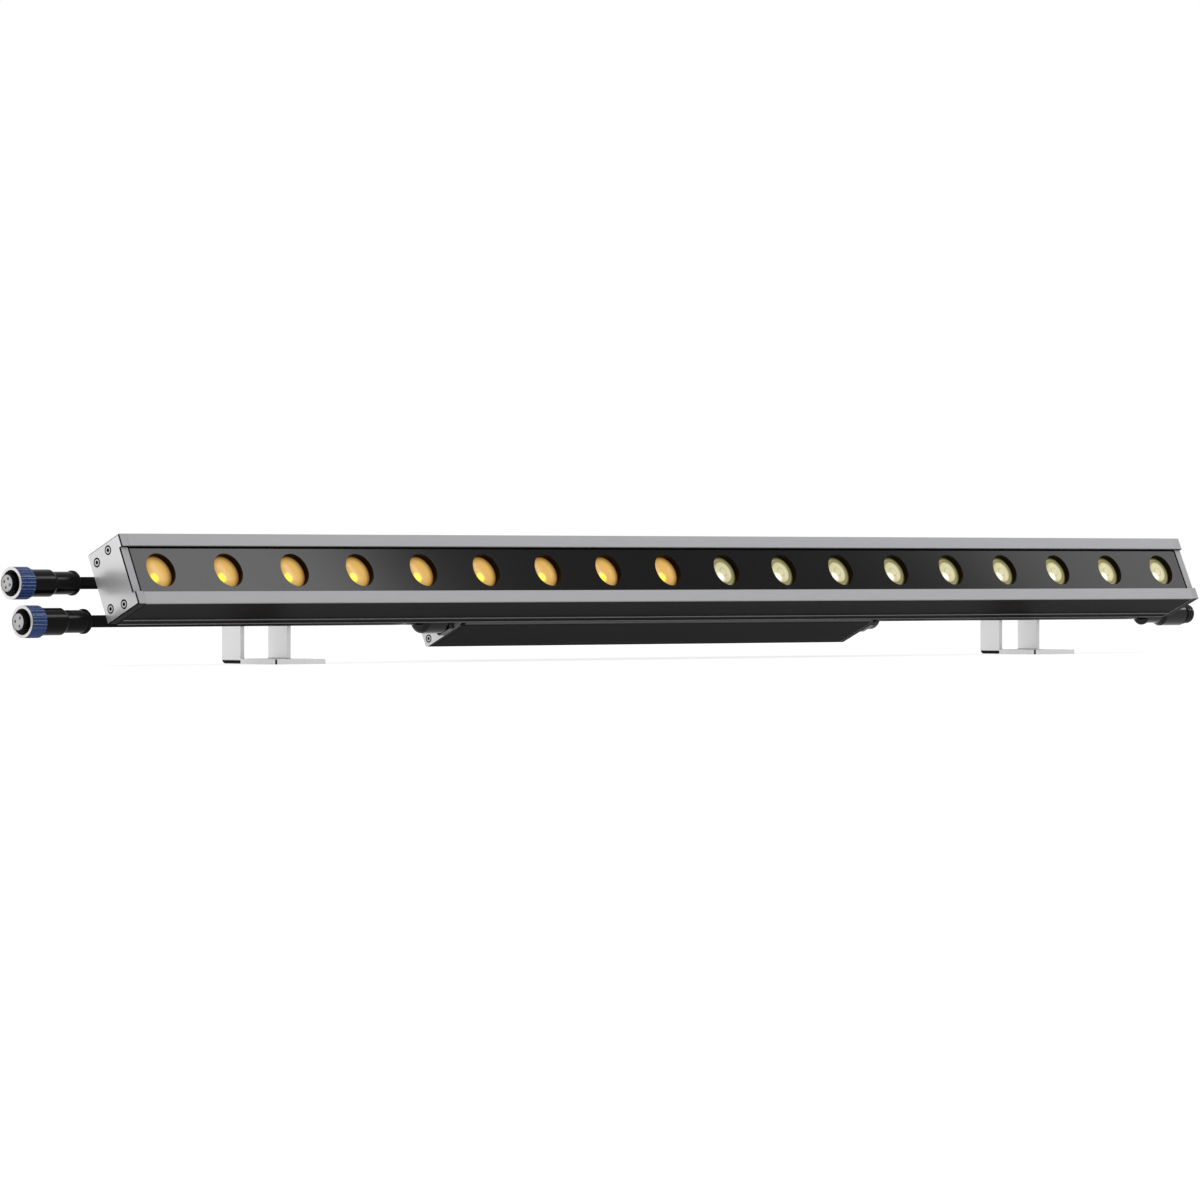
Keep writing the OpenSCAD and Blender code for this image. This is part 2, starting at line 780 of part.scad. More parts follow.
module driver_components() {
  mid = driver_y + driver_d / 2;
  top = board_rib_z + driver_board_t;
  color(PART_GREY) on_head() {
    for (b = driver_blocks) {
      block([b[0] - b[1] / 2, b[0] + b[1] / 2], [mid - b[2], mid + b[3]], [top, top + b[4]]);
    }
    for (c = driver_cans) translate([c[0], mid + c[1], top]) cylinder(h = c[3], d = c[2]);
  }
}

// Cable glands

// The two glands of the right-hand end, drawn along +Z out of the driver box
module at_glands() {
  for (g = [low_gland, high_gland]) translate([driver_l / 2, g[0], g[1]]) rotate([0, 90, 0]) children();
}

module gland_bodies() {
  spigot_start = -driver_plate_t - gland_thread_l;
  spigot_l = gland_hex_t + gland_neck_l - spigot_start;
  color(BLACK) on_head() both_sides() at_glands() difference() {
    union() {
      rotate(30) cylinder(h = gland_hex_t, d = gland_flats / cos(30), $fn = 6);
      translate([0, 0, spigot_start]) cylinder(h = spigot_l, d = gland_spigot_d);
    }
    translate([0, 0, spigot_start - 1]) cylinder(h = spigot_l + 2, d = cable_d + 2 * screw_gap);
  }
}

// A gland's dome nut that ends a length l from the driver box
module gland_nut(l) {
  start = gland_hex_t + part_gap;
  r = gland_dome_d / 2;
  difference() {
    translate([0, 0, start]) rotate_extrude() {
      square([r, l - start - gland_round_r]);
      square([r - gland_round_r, l - start]);
      translate([r - gland_round_r, l - start - gland_round_r]) circle(gland_round_r);
    }
    translate([0, 0, start - 1]) cylinder(h = gland_neck_l + 1, d = gland_spigot_d + 2 * screw_gap);
    translate([0, 0, start]) cylinder(h = l, d = cable_d + 2 * screw_gap);
  }
}

module gland_nuts() {
  color(BLACK) on_head() {
    at_glands() gland_nut(gland_out_l);
    mirror([1, 0, 0]) at_glands() gland_nut(gland_in_l);
  }
}

module gland_locknuts() {
  color(BLACK) on_head() both_sides() at_glands()
    translate([0, 0, -driver_plate_t - gland_locknut_t]) difference() {
      cylinder(h = gland_locknut_t, d = gland_locknut_d, $fn = 6);
      translate([0, 0, -1]) cylinder(h = gland_locknut_t + 2, d = gland_spigot_d + 2 * screw_gap);
    }
}

// Cables: straight out of the gland, an S bend to the bar's rear face, then along it

function bend_angle(offset) = acos(1 - offset / (2 * bend_r));
function bend_run(offset) = 2 * bend_r * sin(bend_angle(offset));

// Stations [x, sideways, heading] of an S bend that starts at x and moves over by side * offset
function s_bend(x, start, offset, side) = let (a = bend_angle(offset), n = bend_steps) concat(
  [for (i = [0 : n]) let (b = a * i / n)
    [x + bend_r * sin(b), start + side * bend_r * (1 - cos(b)), side * b]],
  [for (i = [1 : n]) let (b = a * (1 - i / n))
    [x + bend_run(offset) - bend_r * sin(b), start + side * (offset - bend_r * (1 - cos(b))), side * b]]);

// A tube through stations that all lie in the XY plane
module tube(stations, d) {
  rings = len(stations);
  points = [for (s = stations) for (i = [0 : tube_sides - 1]) let (t = 360 * i / tube_sides)
    [s[0] - d / 2 * cos(t) * sin(s[2]), s[1] + d / 2 * cos(t) * cos(s[2]), d / 2 * sin(t)]];
  sides = [for (r = [0 : rings - 2]) for (i = [0 : tube_sides - 1])
    let (j = (i + 1) % tube_sides, a = r * tube_sides, b = a + tube_sides)
    each [[a + i, a + j, b + i], [a + j, b + j, b + i]]];
  ends = [[for (i = [tube_sides - 1 : -1 : 0]) i],
    [for (i = [0 : tube_sides - 1]) (rings - 1) * tube_sides + i]];
  polyhedron(points, concat(sides, ends));
}

module cable(gland, gland_l, run, end_x, second) {
  step = run - gland;
  offset = norm(step);
  first = s_bend(driver_l / 2 + gland_l + cable_lead, 0, offset, 1);
  last = second ? s_bend(second_bend_x, offset, second_offset, -1) : [];
  end_side = second ? offset - second_offset : offset;
  translate([0, gland[0], gland[1]]) rotate([atan2(step[1], step[0]), 0, 0])
    tube(concat([[driver_l / 2 - cable_tail, 0, 0]], first, last, [[end_x, end_side, 0]]), cable_d);
}

// Depth and height of a right-hand connector, past its second bend
function connector_spot(gland, run) = run - second_offset * (run - gland) / norm(run - gland);
low_male = connector_spot(low_gland, low_run);
high_male = connector_spot(high_gland, high_run);
female_cable_x = female_end_x + cable_seat;
male_cable_x = male_start_x + cable_seat;

module cable_power_in() {
  color(RUBBER) on_head() mirror([1, 0, 0]) cable(high_gland, gland_in_l, high_run, female_cable_x, false);
}

module cable_data_in() {
  color(RUBBER) on_head() mirror([1, 0, 0]) cable(low_gland, gland_in_l, low_run, female_cable_x, false);
}

module cable_power_out() {
  color(RUBBER) on_head() cable(high_gland, gland_out_l, high_run, male_cable_x, true);
}

module cable_data_out() {
  color(RUBBER) on_head() cable(low_gland, gland_out_l, low_run, male_cable_x, true);
}

// Outline of a moulded connector body as [radius, length]: a flange at the cable, a neck, then the shell
function body_outline(shell_l, end_chamfer) = [[0, 0], [flange_d / 2 - 1, 0], [flange_d / 2, 1],
  [flange_d / 2, flange_l - 1.1], [neck_d / 2, flange_l], [neck_d / 2, tail_l - 1],
  [shell_d / 2 - 1.5, tail_l + 0.5], [shell_d / 2, tail_l + 3], [shell_d / 2, tail_l + shell_l - end_chamfer],
  [shell_d / 2 - end_chamfer, tail_l + shell_l], [0, tail_l + shell_l]];

module cable_hole() {
  translate([0, 0, -1]) cylinder(h = cable_seat + 1, d = cable_d + 2 * screw_gap);
}

// Female connectors on the left. Each is drawn along +Z from the cable side to its open face.

module at_female(run) {
  on_head() translate([-female_end_x, run[0], run[1]]) rotate([0, -90, 0]) children();
}

shell_end = tail_l + female_shell_l;
ring_start = shell_end + part_gap;
ring_end = ring_start + sleeve_l + rim_l;
insert_end = ring_end + insert_lead;

module female_shell() {
  difference() {
    union() {
      rotate_extrude() polygon(body_outline(female_shell_l, 0.3));
      cylinder(h = shell_end + spigot_l, r = spigot_r);
      translate([0, 0, shell_end + spigot_l - spigot_flange_t])
        cylinder(h = spigot_flange_t, r = spigot_flange_r);
    }
    cable_hole();
    translate([0, 0, shell_end - insert_seat])
      cylinder(h = insert_seat + spigot_l + 1, d = insert_d + 2 * screw_gap);
  }
}

module female_shells() {
  color(BLACK) for (run = [low_run, high_run]) at_female(run) female_shell();
}

module contact_ring(count) {
  for (i = [0 : count - 1]) rotate(360 / count * (i + 0.5)) translate([contact_circle_r, 0, 0]) children();
}

module female_insert(count) {
  depth = insert_end - shell_end + insert_seat;
  translate([0, 0, shell_end - insert_seat]) difference() {
    cylinder(h = depth, d = insert_d);
    contact_ring(count) translate([0, 0, depth - 9]) cylinder(h = 10, d = contact_d + 0.4);
    translate([-insert_d / 2 - 0.5, -0.7, depth - 6]) cube([1.6, 1.4, 7]);
  }
}

module female_inserts() {
  color(GREY) {
    at_female(high_run) female_insert(4);
    at_female(low_run) female_insert(3);
  }
}

module female_contact(count) {
  contact_ring(count) translate([0, 0, insert_end - 9]) difference() {
    cylinder(h = 7, d = contact_d + 0.4 - 2 * screw_gap);
    translate([0, 0, 1]) cylinder(h = 8, d = contact_d - 0.4);
  }
}

module female_contacts() {
  color(BRASS) {
    at_female(high_run) female_contact(4);
    at_female(low_run) female_contact(3);
  }
}

module coupling_nut() {
  difference() {
    union() {
      translate([0, 0, ring_start]) cylinder(h = sleeve_l, r = nut_bore_r + nut_wall);
      translate([0, 0, ring_start + sleeve_l]) cylinder(h = rim_l, d = ring_d);
    }
    translate([0, 0, ring_start - 1]) cylinder(h = 2 * sleeve_l, r = spigot_r + run_gap);
    translate([0, 0, ring_start + nut_back_t]) cylinder(h = 2 * sleeve_l, r = nut_bore_r);
  }
}

module coupling_sleeve() {
  flute_r = 1.2;
  flute_out = 0.8;
  translate([0, 0, ring_start]) linear_extrude(sleeve_l) difference() {
    circle(d = ring_d);
    circle(nut_bore_r + nut_wall);
    for (i = [0 : flute_count - 1]) rotate(360 / flute_count * i)
      translate([ring_d / 2 + flute_out, 0]) circle(flute_r, $fn = 24);
  }
}

module coupling_nut_a() {
  color(LIGHT) at_female(high_run) coupling_nut();
}

module coupling_nut_b() {
  color(LIGHT) at_female(low_run) coupling_nut();
}

module coupling_sleeve_a() {
  color(BLUE) at_female(high_run) coupling_sleeve();
}

module coupling_sleeve_b() {
  color(BLUE) at_female(low_run) coupling_sleeve();
}

// Male connectors on the right, drawn along +Z from the cable side

module at_male(spot) {
  on_head() translate([male_start_x, spot[0], spot[1]]) rotate([0, 90, 0]) children();
}

male_shell_end = tail_l + male_shell_l;
male_tip = male_shell_end + barrel_l;

module male_shell() {
  difference() {
    union() {
      rotate_extrude() polygon(body_outline(male_shell_l, 1));
      cylinder(h = male_tip, d = barrel_d);
      for (z = [thread_start : thread_pitch : barrel_l - thread_pitch]) {
        translate([0, 0, male_shell_end + z]) cylinder(h = 0.8, d = barrel_d + 1);
      }
    }
    translate([0, 0, male_tip - recess_depth]) cylinder(h = recess_depth + 1, d = insert_d + 0.5);
    cable_hole();
    contact_ring(4) translate([0, 0, male_tip - recess_depth - 5]) cylinder(h = 6, d = contact_d);
  }
}

module male_shells() {
  color(BLACK) for (spot = [low_male, high_male]) at_male(spot) male_shell();
}

module male_pins() {
  color(BRASS) for (spot = [low_male, high_male]) at_male(spot) contact_ring(4)
    translate([0, 0, male_tip - recess_depth - pin_root])
      cylinder(h = pin_l + pin_root, d = contact_d - 2 * screw_gap);
}

module male_seals() {
  color(SEAL_BROWN) for (s = [low_male, high_male]) at_male(s) translate([0, 0, male_shell_end]) difference() {
    cylinder(h = 2, d = barrel_d + 2.4);
    translate([0, 0, -1]) cylinder(h = 4, d = barrel_d + 2 * screw_gap);
  }
}

// Sliders that run in the bar's rear slot and carry the pivots

module slider_2d() {
  back = bar_d + part_gap;
  slot_foot_2d(back);
  box_2d([back, pivot_y], [slot_mid_z - neck_half, slot_mid_z + neck_half]);
  translate([pivot_y, pivot_z]) circle(boss_r);
}

module slider(x) {
  color(ZINC) on_head() translate([x, 0, 0]) difference() {
    along_x(-slider_w / 2, slider_w / 2) slider_2d();
    both_sides() rod_x(slider_w / 2 - bolt_reach - 0.5, slider_w / 2 + 1, pivot_y, pivot_z,
      pivot_bolt_d + 2 * run_gap);
    rod_y(bar_d - 10, pivot_y + boss_r + 1, 0, pivot_z, clamp_screw_d);
  }
}

module slider_left() {
  slider(-bracket_spacing / 2);
}

module slider_right() {
  slider(bracket_spacing / 2);
}

module clamp_screw(x) {
  color(ZINC) on_head() difference() {
    rod_y(bar_d - slot_neck_t - slot_head_t + 0.1, pivot_y + boss_r + 2, x, pivot_z,
      clamp_screw_d - 2 * screw_gap);
    translate([x, pivot_y + boss_r - 1, pivot_z]) rotate([-90, 0, 0])
      cylinder(h = 4, d = clamp_screw_d / 2, $fn = 6);
  }
}

module clamp_screws_left() {
  clamp_screw(-bracket_spacing / 2);
}

module clamp_screws_right() {
  clamp_screw(bracket_spacing / 2);
}

// Foot brackets: a slotted foot plate with two upright ears, bent from one plate

module bracket(x) {
  half = bracket_w / 2;
  back = slot_to_pivot + ear_w / 2;
  front = slot_to_pivot - ear_w / 2;
  color(LIGHT) translate([x, 0, 0]) difference() {
    union() {
      translate([0, back, 0]) rotate([90, 0, 0]) linear_extrude(ear_w) bracket_2d();
      block([-half, half], [-slot_to_front, front], [0, plate_t]);
      both_sides() rod_x(half - plate_t, half, slot_to_pivot, pivot_h, ear_w);
    }
    rod_x(-half - 1, half + 1, slot_to_pivot, pivot_h, pivot_bolt_d + 2 * screw_gap);
    both_sides() translate([half, -slot_to_front, -1]) linear_extrude(plate_t + 2)
      polygon([[-foot_chamfer, 0], [-foot_chamfer, -1], [1, -1], [1, foot_chamfer], [0, foot_chamfer]]);
    linear_extrude(4 * plate_t, center = true) {
      square([slot_l - slot_w, slot_w], center = true);
      for (s = [-1, 1]) translate([s * (slot_l - slot_w) / 2, 0]) circle(d = slot_w);
    }
  }
}

module bracket_2d() {
  half = bracket_w / 2;
  inner = half - plate_t;
  difference() {
    union() {
      box_2d([-half + bend_outer_r, half - bend_outer_r], [0, pivot_h]);
      box_2d([-half, half], [bend_outer_r, pivot_h]);
      for (s = [-1, 1]) translate([s * (half - bend_outer_r), bend_outer_r]) circle(bend_outer_r);
    }
    box_2d([-inner + bend_inner_r, inner - bend_inner_r], [plate_t, pivot_h + 1]);
    box_2d([-inner, inner], [plate_t + bend_inner_r, pivot_h + 1]);
    for (s = [-1, 1]) translate([s * (inner - bend_inner_r), plate_t + bend_inner_r]) circle(bend_inner_r);
  }
}

module bracket_left() {
  bracket(-bracket_spacing / 2);
}

module bracket_right() {
  bracket(bracket_spacing / 2);
}

// Button-head bolts, one through each ear into the slider
module pivot_bolts(x) {
  start = slider_w / 2 - bolt_reach;
  seat = bracket_w / 2;
  color(ZINC) translate([x, slot_to_pivot, pivot_h]) both_sides() rotate([0, 90, 0]) difference() {
    union() {
      translate([0, 0, start]) cylinder(h = seat - start, d = pivot_bolt_d);
      translate([0, 0, seat]) cylinder(h = bolt_head_t * 0.4, d = bolt_head_d);
      translate([0, 0, seat + bolt_head_t * 0.4])
        cylinder(h = bolt_head_t * 0.6, d1 = bolt_head_d, d2 = bolt_head_d * 0.65);
    }
    translate([0, 0, seat + bolt_head_t * 0.4]) cylinder(h = bolt_head_t, d = bolt_head_d * 0.42, $fn = 6);
  }
}

module pivot_bolts_left() {
  pivot_bolts(-bracket_spacing / 2);
}

module pivot_bolts_right() {
  pivot_bolts(bracket_spacing / 2);
}

module friction_washers(x) {
  color(BLACK) translate([x, slot_to_pivot, pivot_h]) both_sides()
    translate([bracket_w / 2 - plate_t - washer_t, 0, 0]) rotate([0, 90, 0]) difference() {
      cylinder(h = washer_t, r = boss_r - 0.5);
      translate([0, 0, -1]) cylinder(h = washer_t + 2, d = pivot_bolt_d + 2 * screw_gap);
    }
}

module friction_washers_left() {
  friction_washers(-bracket_spacing / 2);
}

module friction_washers_right() {
  friction_washers(bracket_spacing / 2);
}

housing();
front_rail_top();
front_rail_bottom();
cover_plate();
lenses_amber();
lenses_white();
lens_seals();
lens_holders();
led_board();
led_packages();
thermal_pad();
board_screws();
end_plate_left();
end_plate_right();
end_gasket_left();
end_gasket_right();
end_screws_left();
end_screws_right();
cable_clips();
clip_screws();
link_grommet();
driver_housing();
driver_end_plate_left();
driver_end_plate_right();
driver_gasket_left();
driver_gasket_right();
driver_end_screws();
driver_mounts();
driver_mount_screws();
driver_board();
driver_components();
gland_bodies();
gland_nuts();
gland_locknuts();
cable_power_in();
cable_data_in();
cable_power_out();
cable_data_out();
female_shells();
female_inserts();
female_contacts();
coupling_nut_a();
coupling_sleeve_a();
coupling_nut_b();
coupling_sleeve_b();
male_shells();
male_pins();
male_seals();
slider_left();
slider_right();
clamp_screws_left();
clamp_screws_right();
bracket_left();
bracket_right();
pivot_bolts_left();
pivot_bolts_right();
friction_washers_left();
friction_washers_right();
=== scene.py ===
"""The looks of a linear LED wall light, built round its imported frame. Lengths are in metres unless marked mm."""

import json
import math

import bmesh
import bpy
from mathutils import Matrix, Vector


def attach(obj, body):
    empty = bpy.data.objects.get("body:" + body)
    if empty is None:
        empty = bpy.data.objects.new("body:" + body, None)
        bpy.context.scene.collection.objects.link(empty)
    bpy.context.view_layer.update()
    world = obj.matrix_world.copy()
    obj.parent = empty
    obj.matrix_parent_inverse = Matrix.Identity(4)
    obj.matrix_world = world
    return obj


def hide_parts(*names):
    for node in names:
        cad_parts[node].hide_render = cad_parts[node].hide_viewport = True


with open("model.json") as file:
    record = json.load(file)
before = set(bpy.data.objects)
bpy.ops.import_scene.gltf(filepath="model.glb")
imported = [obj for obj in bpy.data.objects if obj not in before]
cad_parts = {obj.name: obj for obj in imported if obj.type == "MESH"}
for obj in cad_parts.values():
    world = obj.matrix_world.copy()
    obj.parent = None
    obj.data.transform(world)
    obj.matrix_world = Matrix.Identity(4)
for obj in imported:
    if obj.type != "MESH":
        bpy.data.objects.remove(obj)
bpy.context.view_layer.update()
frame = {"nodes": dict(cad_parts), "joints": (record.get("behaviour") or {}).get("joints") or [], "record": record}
record = frame["record"]
MM = 0.001

# The photographed camera, fitted to the bar's edges and lens openings
CAMERA_PLACE = (-3.1965, -3.1903, 0.06022)
CAMERA_YAW_DEG = 44.367
CAMERA_DROP_DEG = 0.2653
LENS_MM = 202.12
SENSOR_MM = 36.0

# The resting tilt and its axis come from the tilt joint
tilt_joint = next(j for j in frame["joints"] if j["name"] == "head_tilt")
TILT = -math.radians(tilt_joint["range_deg"][0])
PIVOT = Vector((0.0, tilt_joint["pos_m"][1], tilt_joint["pos_m"][2]))

# Places in the light bar's own frame, in mm: depth behind the front face and height above the bottom face
PIVOT_DEPTH = 49.6
PIVOT_HEIGHT = 20.1
BAR_L = 1000.0
BAR_H = 47.3
LED_COUNT = 18
LED_MARGIN = 28.25
LENS_DEPTH = 6.7
CABLE_D = 7.6
BEND_R = 30.0
LOW_GLAND = (49.0, 9.8)
HIGH_GLAND = (49.0, 35.3)
LOW_RUN = (36.1, 4.1)
HIGH_RUN = (36.1, 30.1)
CABLE_START = 167.0
BEND_GAP = 0.1
FIRST_BEND_IN = 223.0
FIRST_BEND_OUT = 211.5
SECOND_OFFSET = 5.9
FEMALE_CABLE_END = 521.5
MALE_START = 481.5
MALE_CABLE_END = 489.0
INSERT_FACE_R = 5.2


def head(x, depth, height):
    """A point of the light bar, in mm, as a place in the row's frame, in metres."""
    a = (depth - PIVOT_DEPTH) * MM
    b = (height - PIVOT_HEIGHT) * MM
    y = PIVOT.y + a * math.cos(TILT) + b * math.sin(TILT)
    z = PIVOT.z - a * math.sin(TILT) + b * math.cos(TILT)
    return Vector((x * MM, y, z))


BEAM = (0, -math.cos(TILT), math.sin(TILT))
BAR_UP = Vector((0, math.sin(TILT), math.cos(TILT)))


# Camera, world and stage


def add_camera():
    data = bpy.data.cameras.new("camera")
    data.lens = LENS_MM
    data.sensor_width = SENSOR_MM
    data.clip_end = 100
    camera = bpy.data.objects.new("camera", data)
    camera.location = CAMERA_PLACE
    camera.rotation_euler = (math.radians(90 - CAMERA_DROP_DEG), 0, -math.radians(CAMERA_YAW_DEG))
    bpy.context.scene.collection.objects.link(camera)
    bpy.context.scene.camera = camera


add_camera()
bpy.context.scene.view_settings.view_transform = "Standard"


class Nodes:
    """A small helper that adds and links shader nodes."""

    def __init__(self, tree):
        self.tree = tree
        tree.nodes.clear()

    def add(self, kind, inputs=None, **settings):
        node = self.tree.nodes.new("ShaderNode" + kind)
        for name, value in settings.items():
            setattr(node, name, value)
        for name, value in (inputs or {}).items():
            socket = node.inputs[name]
            if isinstance(value, bpy.types.NodeSocket):
                self.tree.links.new(value, socket)
            else:
                socket.default_value = value
        return node

    def link(self, a, b):
        self.tree.links.new(a, b)

    def math(self, operation, a, b=0.0):
        return self.add("Math", {0: a, 1: b}, operation=operation).outputs[0]

    def ramp(self, value, stops):
        node = self.add("ValToRGB", {"Fac": value})
        elements = node.color_ramp.elements
        while len(elements) < len(stops):
            elements.new(0.5)
        while len(elements) > len(stops):
            elements.remove(elements[-1])
        for element, (place, colour) in zip(elements, stops):
            element.position = place
            element.color = (*colour, 1)
        return node.outputs["Color"]


# Strength of the light from all round, and what the floor gives where it is seen: its own glow and its shaded part
AMBIENT = 0.82
FLOOR_GLOW = 0.76
FLOOR_SHADE = 0.34
FLOOR_TONE = 0.8
FLOOR_HALF = 40.0
WHITE = (1, 1, 1, 1)


def seen_rays(n):
    """1 for the rays that see the background directly, in metal or through glass, and 0 for light."""
    ray = n.add("LightPath")
    seen = n.math("MAXIMUM", ray.outputs["Is Camera Ray"], ray.outputs["Is Glossy Ray"])
    return n.math("MAXIMUM", seen, ray.outputs["Is Transmission Ray"])


def build_world():
    world = bpy.data.worlds.new("world")
    world.use_nodes = True
    bpy.context.scene.world = world
    n = Nodes(world.node_tree)
    white = n.add("Background", {"Color": WHITE, "Strength": 1.0})
    soft = n.add("Background", {"Color": WHITE, "Strength": AMBIENT})
    mix = n.add("MixShader", {0: seen_rays(n), 1: soft.outputs[0], 2: white.outputs[0]})
    out = n.add("OutputWorld")
    n.link(mix.outputs[0], out.inputs["Surface"])


def add_area(name, place, target, size, power):
    """A soft box: its place and target in metres, its width and height, and its power in watts."""
    data = bpy.data.lights.new(name, "AREA")
    data.energy = power
    data.shape = "RECTANGLE"
    data.size, data.size_y = size
    light = bpy.data.objects.new(name, data)
    light.location = place
    light.rotation_euler = (Vector(target) - Vector(place)).to_track_quat("-Z", "Y").to_euler()
    bpy.context.scene.collection.objects.link(light)


def add_floor():
    """A floor that is white where it is seen in full light, and keeps a faint shadow of the object."""
    half = FLOOR_HALF
    mesh = bpy.data.meshes.new("floor")
    mesh.from_pydata([(-half, -half, 0), (half, -half, 0), (half, half, 0), (-half, half, 0)], [], [(0, 1, 2, 3)])
    floor = bpy.data.objects.new("floor", mesh)
    bpy.context.scene.collection.objects.link(floor)
    material = bpy.data.materials.new("floor")
    material.use_nodes = True
    n = Nodes(material.node_tree)
    matt = n.add("BsdfDiffuse", {"Color": (FLOOR_TONE, FLOOR_TONE, FLOOR_TONE, 1)})
    shade = n.add("BsdfDiffuse", {"Color": (FLOOR_SHADE, FLOOR_SHADE, FLOOR_SHADE, 1)})
    glow = n.add("Emission", {"Color": WHITE, "Strength": FLOOR_GLOW})
    bright = n.add("AddShader", {0: shade.outputs[0], 1: glow.outputs[0]})
    mix = n.add("MixShader", {0: seen_rays(n), 1: matt.outputs[0], 2: bright.outputs[0]})
    out = n.add("OutputMaterial")
    n.link(mix.outputs[0], out.inputs["Surface"])
    mesh.materials.append(material)


build_world()
add_floor()
# The cover's left and right ends mirror the two boxes, its middle the gap between them
add_area("box_left", place=(2.16, -2.1, 2.46), target=(-0.52, 0, 0.06), size=(0.52, 1.2), power=33)
add_area("box_right", place=(4.36, -2.1, 2.46), target=(0.58, 0, 0.06), size=(0.57, 1.2), power=17.5)
add_area("side", place=(-3.0, 0.4, 1.6), target=(-0.3, 0, 0.05), size=(0.7, 0.7), power=14)


# Materials, one function for each finish

# Scales of the noises, per metre, and the part of their range that they use
GRAIN_SCALE = 60
CLOUD_SCALE = 14.0
MOULD_SCALE = 900
TONE_SCALE = 40.0
ANODISED_SCALE = 1500.0
NOISE_LOW = 0.3
NOISE_HIGH = 0.7

# How far a face has to look across X, or to the front, to count as a bevel, a flat face or a front edge
BEVEL_FROM = 0.3
FACE_FROM = 0.94
FRONT_FROM = 0.6
BARE_METAL = 0.65

# Depths of the bumps and radii of the softened edges, in metres
BRUSHING = 0.0001
FINE_GRAIN = 0.00005
SOFT_EDGE = 0.0003
CRISP_EDGE = 0.0002
SHARP_EDGE = 0.0001

# The insert's grey face and its black rim are told apart by a distance in centimetres, which fits the ramp's range
# of 0 to 1
CM_PER_M = 100.0
MM_PER_CM = 10
RIM_BLUR_CM = 0.01

# Where the painted highlight, the LED's glowing image, lies on a lens, from its centre, in lens radii
LED_HIGHLIGHT_PLACE = (-0.36, -0.34, 0)
LED_HIGHLIGHT_FALLOFF = [(0.0, (1, 1, 1)), (0.16, (0.9, 0.9, 0.9)), (0.38, (0, 0, 0))]


def grey(value, blue=1.0):
    return (value, value, value * blue)


def scaled(colour, factor):
    return tuple(min(1, c * factor) for c in colour)


def new_material(name):
    material = bpy.data.materials.new(name)
    material.use_nodes = True
    return material, Nodes(material.node_tree)


def finish_material(n, shader, bump=None, bevel=0.0):
    """Links the shader to the output, with rounded-looking edges and a bump."""
    out = n.add("OutputMaterial")
    n.link(shader.outputs[0], out.inputs["Surface"])
    normal = None
    if bevel:
        normal = n.add("Bevel", {"Radius": bevel}, samples=4).outputs[0]
    if bump:
        height, strength, distance = bump
        node = n.add("Bump", {"Height": height, "Strength": strength, "Distance": distance})
        if normal:
            n.link(normal, node.inputs["Normal"])
        normal = node.outputs[0]
    if normal:
        n.link(normal, shader.inputs["Normal"])


def stretched_noise(n, stretch, scale):
    """Noise drawn out along an axis, as brushing or drawing leaves it."""
    place = n.add("TexCoord").outputs["Object"]
    mapped = n.add("Mapping", {"Vector": place, "Scale": stretch}).outputs[0]
    return n.add("TexNoise", {"Vector": mapped, "Scale": scale, "Detail": 3.0}).outputs[0]


def plain_noise(n, scale, detail=2.0):
    place = n.add("TexCoord").outputs["Object"]
    return n.add("TexNoise", {"Vector": place, "Scale": scale, "Detail": detail}).outputs[0]


def spread(n, value, low, high):
    """The value, from 0 to 1, as a value from low to high."""
    return n.add("MapRange", {"Value": value, "To Min": low, "To Max": high}).outputs[0]


def uneven_tone(n, value, colour, share):
    """The colour, darker where the noise is low and lighter where it is high, by a share of itself."""
    return n.ramp(value, [(NOISE_LOW, scaled(colour, 1 - share)), (NOISE_HIGH, scaled(colour, 1 + share))])


def uneven_rough(n, value, roughness, share):
    return spread(n, value, roughness * (1 - share), roughness * (1 + share))


def toward(n, direction):
    """How far a face looks along a direction of the resting object, from -1 to 1."""
    normal = n.add("TexCoord").outputs["Normal"]
    return n.add("VectorMath", {0: normal, 1: direction}, operation="DOT_PRODUCT").outputs["Value"]


def facing(n, low, high):
    """0 for faces that look less than low along the beam, rising to 1 for those that look high or more."""
    return n.add("MapRange", {"Value": toward(n, BEAM), "From Min": low, "From Max": high}).outputs[0]


def tinted(n, colour, factor):
    return n.add("VectorMath", {0: colour, "Scale": factor}, operation="SCALE").outputs[0]


def blend(n, factor, a, b):
    """Colour a where the factor is 0 and colour b where it is 1."""
    return n.add("Mix", {"Factor": factor, 6: a, 7: b}, data_type="RGBA").outputs[2]


def brushed_metal(name, colour, roughness, stretch=(1, 40, 40), metallic=1.0):
    """Metal with a fine grain drawn out along the direction in which stretch is small."""
    material, n = new_material(name)
    grain = stretched_noise(n, stretch, GRAIN_SCALE)
    tone = uneven_tone(n, grain, colour, 0.05)
    rough = uneven_rough(n, grain, roughness, 0.15)
    shader = n.add("BsdfPrincipled", {"Base Color": tone, "Metallic": metallic, "Roughness": rough,
                                      "Specular IOR Level": 0.15})
    finish_material(n, shader, (grain, 0.08, BRUSHING), SOFT_EDGE)
    return material


